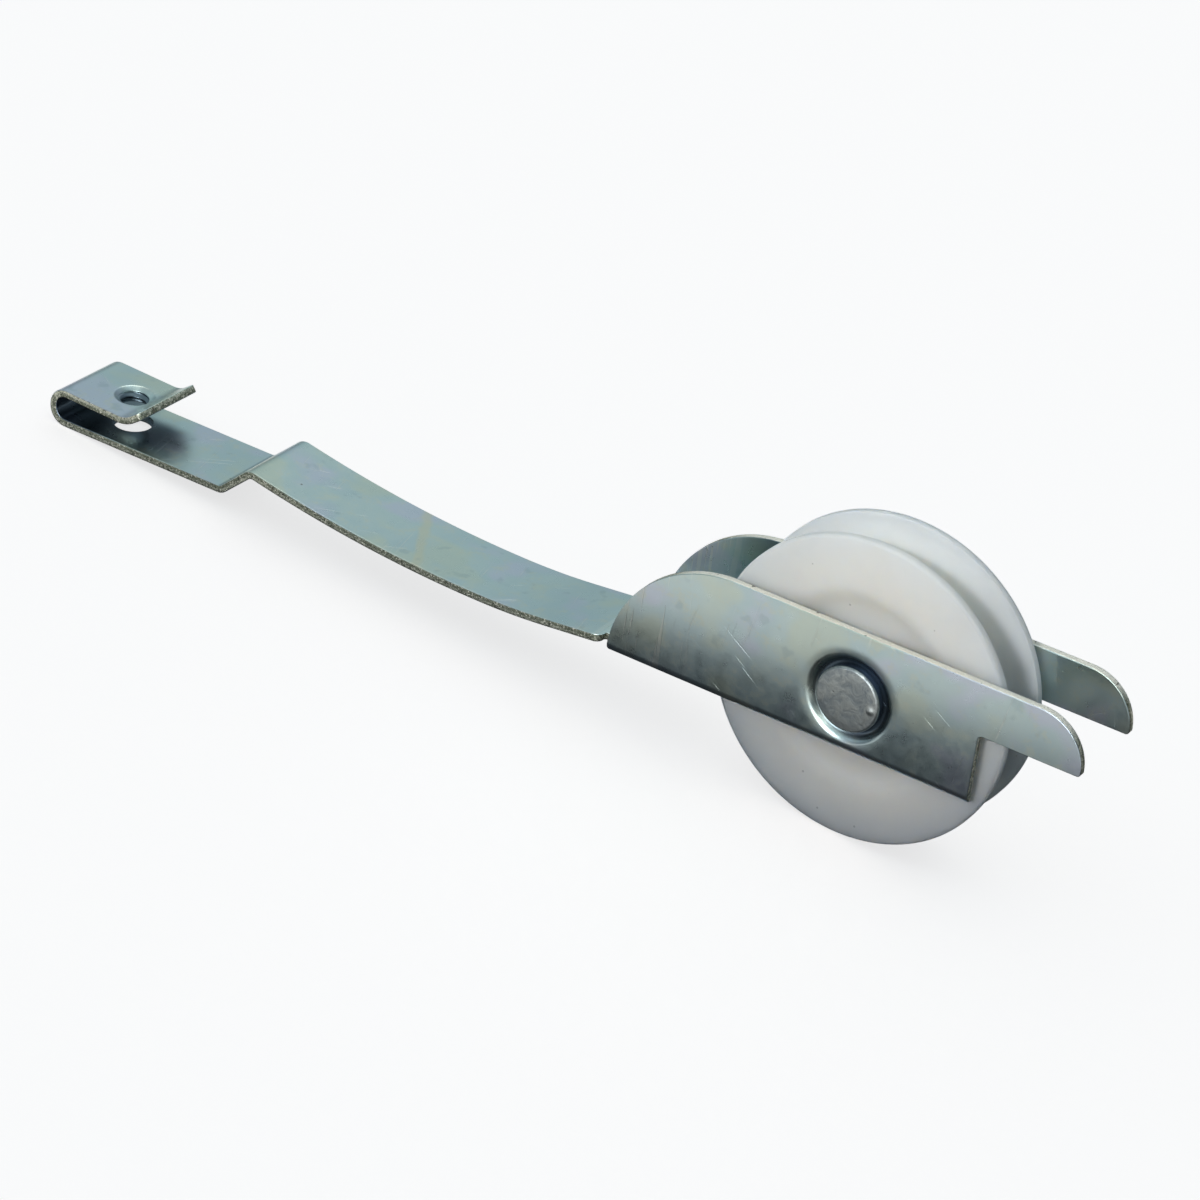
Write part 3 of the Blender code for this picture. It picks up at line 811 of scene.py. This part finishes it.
def scratch_lines(shader, place, angle, spacing, threshold):
    """Fine straight scratches at an angle to the strip, broken up so that only a few show."""
    along = shader.node("ShaderNodeVectorRotate", {"Vector": place, "Angle": angle}, rotation_type="Z_AXIS")
    lines = shader.noise(shader.scaled(along.outputs["Vector"], (0.08, spacing, 1)), 1.0, detail=1.0)
    patches = shader.noise(place, 0.22, detail=1.0)
    thin = shader.band(lines, threshold, threshold + 0.02)
    return shader.math("MULTIPLY", thin, shader.band(patches, 0.5, 0.62))


def specks(shader, place, scale, share, size):
    """Small dark dots in a share of the cells of a random pattern."""
    cells = shader.node("ShaderNodeTexVoronoi", {"Vector": place, "Scale": scale})
    picks = shader.node("ShaderNodeSeparateColor", {"Color": cells.outputs["Color"]}).outputs[0]
    chosen = shader.math("GREATER_THAN", picks, 1 - share)
    dot = shader.band(cells.outputs["Distance"], size * 0.6, size, 1.0, 0.0)
    return shader.math("MULTIPLY", dot, chosen)


def along_base_leaf(fold, reach):
    """A pair of x on the base leaf, in millimetres, as distances along the blank."""
    return [fold.u_near(x * MM, BASE_LEAF_Z) / MM for x in reach]


def painted_shade(shader, along, across, depth, fold):
    """Where shade is painted dark into the plate: deep in the clip's slot, in a blotch past its clearance
    hole, in each dish and on the ears' inner sides beside the wheel."""
    above = shader.band(depth, 0.0, 0.2)
    off_middle = shader.math("ABSOLUTE", shader.math("SUBTRACT", across, SHADE_BLOTCH_Y))
    shade_blotch = shader.math(
        "MULTIPLY",
        shader.band(along, *along_base_leaf(fold, SHADE_BLOTCH_X)),
        shader.band(off_middle, *SHADE_BLOTCH_REACH),
    )
    slot = shader.band(along, *along_base_leaf(fold, SLOT_SHADE_X))
    in_slot = shader.math("MULTIPLY", shader.math("MAXIMUM", shade_blotch, slot), above)
    height = shader.math("SUBTRACT", shader.math("ABSOLUTE", across), fold.t_at(0) / MM)
    squared = shader.math(
        "ADD", shader.math("MULTIPLY", along, along), shader.math("MULTIPLY", height, height)
    )
    in_dish = shader.band(squared, *[radius**2 for radius in DISH_SHADE_RADIUS])
    in_ear = shader.math(
        "MULTIPLY", shader.band(along, *EAR_SHADE_REAR_X), shader.band(along, *EAR_SHADE_FRONT_X)
    )
    in_ear = shader.math("MULTIPLY", in_ear, shader.band(height, *EAR_SHADE_Z))
    in_ear = shader.math("MULTIPLY", in_ear, above)
    dark = shader.math(
        "MAXIMUM", shader.math("MULTIPLY", in_slot, 0.8), shader.math("MULTIPLY", in_dish, 0.9)
    )
    return shader.math("MAXIMUM", dark, shader.math("MULTIPLY", in_ear, 0.6))


def plate_tint(shader, place, along, across):
    """The plate's colour, and the fine fog in it: soft clouds of grey, violet and yellow, darker blots and
    the stain on the arm."""
    cloud = shader.noise(place, 0.16, detail=4.0, distortion=0.4)
    color = shader.mix(shader.band(cloud, 0.35, 0.65), (0.52, 0.645, 0.655), (0.56, 0.675, 0.66))
    drift = shader.noise(shader.scaled(place, (1, 1.3, 0)), 0.11, detail=2.0)
    color = shader.mix(shader.band(drift, 0.51, 0.64, 0, 0.8), color, (0.60, 0.64, 0.73))
    color = shader.mix(shader.band(drift, 0.49, 0.37, 0, 0.7), color, (0.61, 0.68, 0.57))
    fog = shader.noise(place, 0.7, detail=5.0, roughness=0.65)
    color = shader.mix(shader.band(fog, 0.52, 0.70, 0, 0.45), color, (0.64, 0.67, 0.55))
    lean = shader.math("ADD", along, shader.math("MULTIPLY", across, STAIN_SLOPE))
    wander = shader.math("MULTIPLY", shader.noise(place, 0.5), 1.2)
    off_stain = shader.math("SUBTRACT", shader.math("ADD", lean, wander), STAIN_U)
    stain = shader.band(shader.math("ABSOLUTE", off_stain), 0.2, 0.9, 0.6, 0.0)
    color = shader.mix(stain, color, (0.68, 0.66, 0.49))
    blot = shader.band(shader.noise(place, 0.45, detail=2.0), 0.62, 0.72, 0.0, 0.35)
    return shader.mix(blot, color, (0.36, 0.46, 0.47)), fog


def handling_scratches(shader, place, along):
    """Sparse straight scratches, and close cross scratches at the ears' rear."""
    rear = shader.math("MULTIPLY", shader.band(along, *RUB_FRONT_X), shader.band(along, *RUB_REAR_X))
    cross = shader.noise(shader.scaled(place, (2.2, 0.09, 1)), 1.0, detail=3.0)
    rub = shader.math("MULTIPLY", rear, shader.band(cross, 0.58, 0.62))
    sparse = shader.math(
        "MAXIMUM",
        scratch_lines(shader, place, math.radians(78), 5.0, 0.68),
        scratch_lines(shader, place, math.radians(-35), 4.0, 0.72),
    )
    return shader.math("MAXIMUM", shader.math("MULTIPLY", sparse, 0.6), rub)


def zinc_plate(fold):
    """Satin zinc with faint clouds, rolling grain, specks, painted shade and handling scratches."""
    shader = Shader("zinc_plate", (0.55, 0.66, 0.66), Metallic=1.0)
    place = in_millimetres(shader, "blank")
    split = shader.node("ShaderNodeSeparateXYZ", {0: place})
    along, across, depth = split.outputs
    color, fog = plate_tint(shader, place, along, across)
    scratches = handling_scratches(shader, place, along)
    dots = specks(shader, place, 0.42, 0.09, 0.07)
    color = shader.mix(shader.math("MULTIPLY", scratches, 0.45), color, (0.86, 0.86, 0.78))
    color = shader.mix(shader.math("MULTIPLY", dots, 0.7), color, (0.10, 0.10, 0.09))
    # Painted shade: dark navy in the clip's slot, past the clearance hole, in each dish and on the ears'
    # inner sides
    color = shader.mix(painted_shade(shader, along, across, depth, fold), color, (0.05, 0.08, 0.12))
    rough = shader.band(fog, 0.3, 0.7, 0.27, 0.33)
    rough = shader.math("ADD", rough, shader.math("MULTIPLY", dots, 0.3))
    grain = shader.noise(shader.scaled(place, (0.6, 9, 9)), 1.0, detail=4.0, roughness=0.6)
    fine = shader.noise(place, 6.0, detail=3.0)
    normal = shader.bump(grain, 0.003 * MM, 0.5)
    normal = shader.bump(fine, 0.005 * MM, 0.5, normal)
    normal = shader.bump(scratches, -0.03 * MM, 0.5, normal)
    return shader.use(Base_Color=color, Roughness=rough, Normal=normal)


def sheared_edge(fold):
    """The sheet's cut edge: olive grey, a smoother band over a torn one, with bright and dark flecks. A
    painted highlight runs along the ears' top edges: painted bright cream and made less metallic."""
    shader = Shader("sheared_edge", (0.44, 0.45, 0.36), Metallic=1.0)
    place = in_millimetres(shader, "blank")
    split = shader.node("ShaderNodeSeparateXYZ", {0: place})
    wander = shader.math("MULTIPLY", shader.noise(shader.scaled(place, (1, 1, 0)), 1.3), 0.25)
    torn = shader.band(shader.math("ADD", split.outputs["Z"], wander), 0.0, 0.18)
    streaks = shader.noise(shader.scaled(place, (5, 5, 0.7)), 1.0, detail=5.0, roughness=0.7)
    flecks = shader.band(shader.noise(place, 3.8, detail=4.0, roughness=0.75), 0.53, 0.60)
    pores = shader.band(shader.noise(place, 4.4, detail=3.0, roughness=0.75), 0.48, 0.41)
    breaks = shader.band(shader.noise(shader.scaled(place, (1.1, 1.1, 0.6)), 1.0, detail=2.0), 0.66, 0.7)
    # Painted highlight: the ears' top edges are painted bright cream and made less metallic
    ear_top = fold.t_at(EAR_TOP_Z) / MM
    painted_top_highlight = shader.band(shader.math("ABSOLUTE", split.outputs["Y"]), ear_top - 2.5, ear_top - 0.5)
    color = shader.mix(torn, (0.56, 0.58, 0.46), (0.25, 0.27, 0.20))
    color = shader.mix(shader.math("MULTIPLY", flecks, 0.75), color, (0.98, 0.95, 0.82))
    color = shader.mix(shader.math("MULTIPLY", pores, 0.8), color, (0.07, 0.08, 0.06))
    color = shader.mix(shader.math("MULTIPLY", painted_top_highlight, 0.8), color, (0.98, 0.94, 0.84))
    color = shader.mix(shader.math("MULTIPLY", breaks, 0.8), color, (0.12, 0.11, 0.08))
    rough = shader.band(torn, 0.0, 1.0, 0.5, 0.6)
    height = shader.math("ADD", streaks, shader.math("MULTIPLY", flecks, 0.5))
    normal = shader.bump(height, 0.05 * MM, 0.5)
    metal = shader.math("SUBTRACT", 1.0, shader.math("MULTIPLY", painted_top_highlight, 0.85))
    return shader.use(Base_Color=color, Metallic=metal, Roughness=rough, Normal=normal)


def white_nylon():
    """Natural nylon: warm white, faintly see-through, with a fine moulded texture."""
    shader = Shader(
        "white_nylon",
        (0.84, 0.83, 0.79),
        Roughness=0.42,
        Subsurface_Weight=0.9,
        Subsurface_Radius=(1.0, 0.9, 0.75),
        Subsurface_Scale=0.007,
        IOR=1.53,
    )
    place = in_millimetres(shader)
    cloud = shader.noise(place, 0.12, detail=3.0)
    color = shader.mix(shader.band(cloud, 0.35, 0.65), (0.81, 0.79, 0.75), (0.86, 0.84, 0.79))
    dust = specks(shader, place, 0.45, 0.25, 0.07)
    color = shader.mix(shader.math("MULTIPLY", dust, 0.5), color, (0.35, 0.33, 0.30))
    rough = shader.band(shader.noise(place, 0.5, detail=4.0), 0.35, 0.65, 0.36, 0.5)
    normal = shader.bump(shader.noise(place, 3.0, detail=4.0), 0.01 * MM, 0.5)
    return shader.use(Base_Color=color, Roughness=rough, Normal=normal)


def rivet_steel():
    """Cold-headed steel under dull zinc: grey mottle and small dents, with painted shade darkening its
    flank.
    """
    shader = Shader("rivet_steel", (0.40, 0.43, 0.42), Metallic=1.0)
    spot = in_millimetres(shader)
    mottle = shader.noise(spot, 0.75, detail=5.0, roughness=0.65, distortion=0.6)
    color = shader.mix(shader.band(mottle, 0.36, 0.64), (0.25, 0.28, 0.29), (0.47, 0.50, 0.48))
    # Painted shade: the rivet's side, down in the dish, is darkened
    reach = shader.math("ABSOLUTE", shader.node("ShaderNodeSeparateXYZ", {0: spot}).outputs["Y"])
    flank_shade = shader.band(reach, PAINTED_SHADE_FLANK_Y / MM, PAINTED_SHADE_FLANK_Y / MM - 0.27)
    color = shader.mix(flank_shade, color, (0.06, 0.08, 0.11))
    pits = specks(shader, spot, 0.8, 0.25, 0.12)
    color = shader.mix(shader.math("MULTIPLY", pits, 0.4), color, (0.14, 0.14, 0.13))
    rough = shader.band(mottle, 0.35, 0.65, 0.50, 0.38)
    normal = shader.bump(mottle, 0.12 * MM, 0.5)
    normal = shader.bump(pits, -0.03 * MM, 0.5, normal)
    return shader.use(Base_Color=color, Roughness=rough, Normal=normal)


# The studio

def flat_card(name, length, width, material):
    build = bmesh.new()
    bmesh.ops.create_grid(build, x_segments=1, y_segments=1, size=0.5)
    bmesh.ops.scale(build, verts=build.verts, vec=(length, width, 1))
    mesh = bpy.data.meshes.new(name)
    build.to_mesh(mesh)
    build.free()
    card = link(name, mesh)
    mesh.materials.append(material)
    return card


def make_floor():
    """A pale floor. Its light on the roller is left to the world, whose lower half stands in for it."""
    shader = Shader("floor", FLOOR_SHADE, Roughness=0.9, Specular_IOR_Level=0.0)
    shader.surface.inputs["Emission Color"].default_value = (1, 1, 1, 1)
    shader.surface.inputs["Emission Strength"].default_value = FLOOR_GLOW
    grain = shader.noise(shader.node("ShaderNodeTexCoord").outputs["Object"], 3.0)
    shader.use(Base_Color=shader.mix(grain, FLOOR_SHADE, [0.98 * part for part in FLOOR_SHADE]))
    floor = flat_card("floor", FLOOR_SIZE, FLOOR_SIZE, shader.material)
    floor.visible_diffuse = False
    floor.visible_glossy = False
    floor.visible_transmission = False


def make_reflector(side, place):
    """A light card beside the roller and below it, which only the metal mirrors. Its near edge leaves the
    foot of each ear dark."""
    shader = Shader("reflector", (0, 0, 0))
    shader.surface.inputs["Emission Color"].default_value = (1.0, 1.0, 1.0, 1)
    shader.surface.inputs["Emission Strength"].default_value = REFLECTOR_GLOW
    name = "reflector_near" if side < 0 else "reflector_far"
    card = flat_card(name, REFLECTOR_LENGTH, REFLECTOR_WIDTH, shader.material)
    middle = Vector((0, side * (REFLECTOR_EDGE_Y + REFLECTOR_WIDTH / 2), REFLECTOR_Z))
    turn = Matrix.Rotation(side * REFLECTOR_TURN, 4, "Z")
    card.matrix_world = place @ Matrix.Translation(middle) @ turn
    for ray in ("camera", "diffuse", "transmission", "volume_scatter", "shadow"):
        setattr(card, "visible_" + ray, False)


def add_lamp(kind, name, place, aim, power, color):
    light = bpy.data.lights.new(name, kind)
    light.energy = power
    light.color = color
    lamp = bpy.data.objects.new(name, light)
    bpy.context.scene.collection.objects.link(lamp)
    lamp.visible_camera = False
    lamp.location = place
    lamp.rotation_euler = (Vector(aim) - Vector(place)).to_track_quat("-Z", "Y").to_euler()
    return lamp


def light_only(lamp, pieces):
    receivers = bpy.data.collections.new("lit_by_" + lamp.name)
    for piece in pieces:
        receivers.objects.link(piece)
    lamp.light_linking.receiver_collection = receivers


def soft_box(name, place, aim, size, power, color, pieces):
    """A square lamp that shows only as a soft highlight in the metal."""
    lamp = add_lamp("AREA", name, place, aim, power, color)
    lamp.data.size = size
    lamp.visible_diffuse = False
    lamp.visible_transmission = False
    light_only(lamp, pieces)


def soft_spot(aim, pieces):
    """Lights the wheel's upper half from above and in front. Its beam ends behind the near ear, and it is
    meant for the pieces alone, so that it leaves no bright ring on the floor."""
    level = (Vector(aim) - Vector(SPOT_PLACE)).normalized()
    lift = (Vector((0, 0, 1)) - level * level.z).normalized() * SPOT_LIFT
    lamp = add_lamp("SPOT", "spot", SPOT_PLACE, Vector(aim) + lift, SPOT_POWER, WARM_WHITE)
    lamp.data.shadow_soft_size = SPOT_RADIUS
    lamp.data.spot_size = SPOT_ANGLE
    lamp.data.spot_blend = SPOT_BLEND
    lamp.visible_glossy = False
    light_only(lamp, pieces)


def make_world():
    """A soft room whose light leans: bright above and behind, dim in front and dark below."""
    world = bpy.data.worlds.new("studio")
    bpy.context.scene.world = world
    world.use_nodes = True
    nodes, links = world.node_tree.nodes, world.node_tree.links
    coords = nodes.new("ShaderNodeTexCoord")
    lean = nodes.new("ShaderNodeVectorMath")
    lean.operation = "DOT_PRODUCT"
    lean.inputs[1].default_value = Vector(WORLD_LEAN).normalized()
    height = nodes.new("ShaderNodeMapRange")
    height.inputs["From Min"].default_value = -1
    ramp = nodes.new("ShaderNodeValToRGB")
    links.new(coords.outputs["Generated"], lean.inputs[0])
    links.new(lean.outputs["Value"], height.inputs["Value"])
    links.new(height.outputs[0], ramp.inputs["Fac"])
    links.new(ramp.outputs["Color"], nodes["Background"].inputs["Color"])
    stops = ramp.color_ramp.elements
    for _ in range(len(WORLD_STOPS) - 2):
        stops.new(0.5)
    for stop, (position, color) in zip(stops, WORLD_STOPS):
        stop.position = position
        stop.color = (*color, 1)


def make_studio(place, metal, wheel):
    make_floor()
    for side in (-1, 1):
        make_reflector(side, place)
    make_world()
    axle = place.translation
    soft_box("overhead", OVERHEAD_PLACE, axle, OVERHEAD_SIZE, OVERHEAD_POWER, WARM_WHITE, metal)
    soft_box("front", FRONT_PLACE, axle, FRONT_SIZE, FRONT_POWER, COOL_WHITE, metal)
    soft_spot(axle, (*metal, wheel))


def make_camera():
    data = bpy.data.cameras.new("camera")
    camera = bpy.data.objects.new("camera", data)
    bpy.context.scene.collection.objects.link(camera)
    bpy.context.scene.camera = camera
    level = math.cos(CAMERA_ELEVATION)
    back = Vector(
        (math.sin(CAMERA_AZIMUTH) * level, -math.cos(CAMERA_AZIMUTH) * level, math.sin(CAMERA_ELEVATION))
    )
    camera.location = Vector(CAMERA_AIM) + back * CAMERA_DISTANCE
    turn = (-back).to_track_quat("-Z", "Y").to_matrix().to_4x4() @ Matrix.Rotation(CAMERA_ROLL, 4, "Z")
    camera.rotation_euler = turn.to_euler()
    data.lens = CAMERA_LENS
    data.clip_start = 0.02
    data.clip_end = 20


def roller_place():
    """The matrix from the roller's own frame to the world, found from the wheel's CAD box and the clip's
    bend, since the roller rests on both."""
    low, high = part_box("grooved_wheel")
    bend_outer = CLIP_BEND_RADIUS + HALF_SHEET
    bend_x = CLIP_END_X + bend_outer
    bend_z = BASE_LEAF_Z + CLIP_BEND_RADIUS
    reach = math.hypot(bend_x, bend_z)
    tilt = math.asin((WHEEL_RADIUS - bend_outer) / reach) - math.atan2(-bend_z, -bend_x)
    return Matrix.Translation((low + high) / 2) @ Matrix.Rotation(-tilt, 4, "Y")


place = roller_place()
stamping = make_stamping(place)
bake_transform(stamping)
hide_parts("mounting_clip", "wheel_yoke")

rivet = make_rivet(place)
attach(rivet, "yoke")
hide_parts("axle_rivet")

wheel = make_wheel(place)
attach(wheel, "wheel")
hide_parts("grooved_wheel")

make_studio(place, (stamping, rivet), wheel)
make_camera()
bpy.context.scene.view_settings.view_transform = "Standard"
